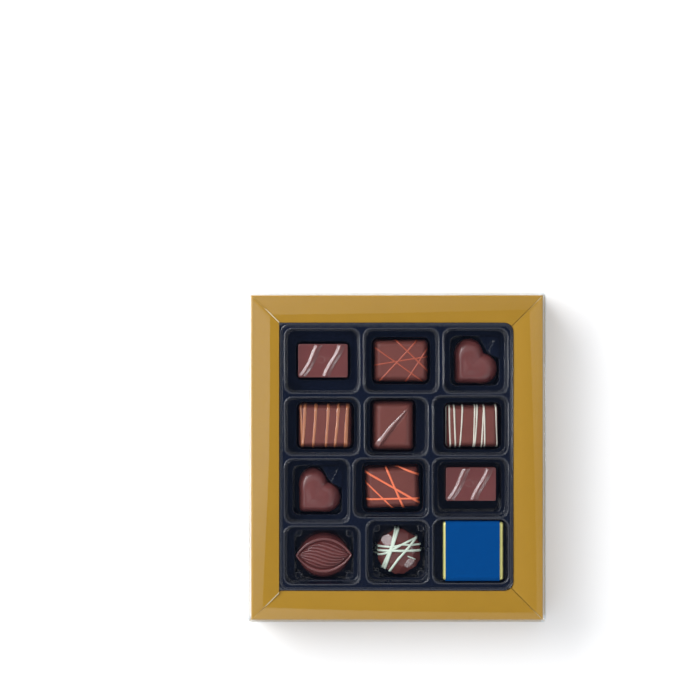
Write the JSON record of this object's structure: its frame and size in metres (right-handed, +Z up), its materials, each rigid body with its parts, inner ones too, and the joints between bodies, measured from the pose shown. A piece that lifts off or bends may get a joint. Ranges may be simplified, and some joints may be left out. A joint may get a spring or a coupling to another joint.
{
  "type": "box of chocolate pralines",
  "caption": "Shallow gift box of dark chocolate pralines: gold card base with folded border, black moulded tray, assorted pralines, a wrapped square and a clear lift-off lid.",
  "frame": {"origin": "middle of the card base's underside, where the box rests", "axes": "+X to the right across the short side, +Y to the back along the long side, +Z up through the clear lid"},
  "size_m": [0.171, 0.1888, 0.027],
  "materials": {
    "gold_card": "satin gold laminated card",
    "black_plastic": "glossy thermoformed black plastic",
    "dark_chocolate": "tempered dark chocolate with a soft gloss",
    "pale_gold_foil": "thin pale gold foil",
    "blue_paper": "smooth printed blue paper",
    "clear_plastic": "clear folded plastic"
  },
  "bodies": {
    "root": {"card_base": "gold_card", "tray": "black_plastic", "wave_block_back": "dark_chocolate", "thread_block_back": "dark_chocolate", "heart_back": "dark_chocolate", "caramel_block": "dark_chocolate", "ridge_block": "dark_chocolate", "ivory_block": "dark_chocolate", "heart_front": "dark_chocolate", "thread_block_front": "dark_chocolate", "wave_block_front": "dark_chocolate", "pod_praline": "dark_chocolate", "gem_praline": "dark_chocolate", "square_foil": "pale_gold_foil", "square_band": "blue_paper", "clear_lid": "clear_plastic"}
  },
  "joints": []
}
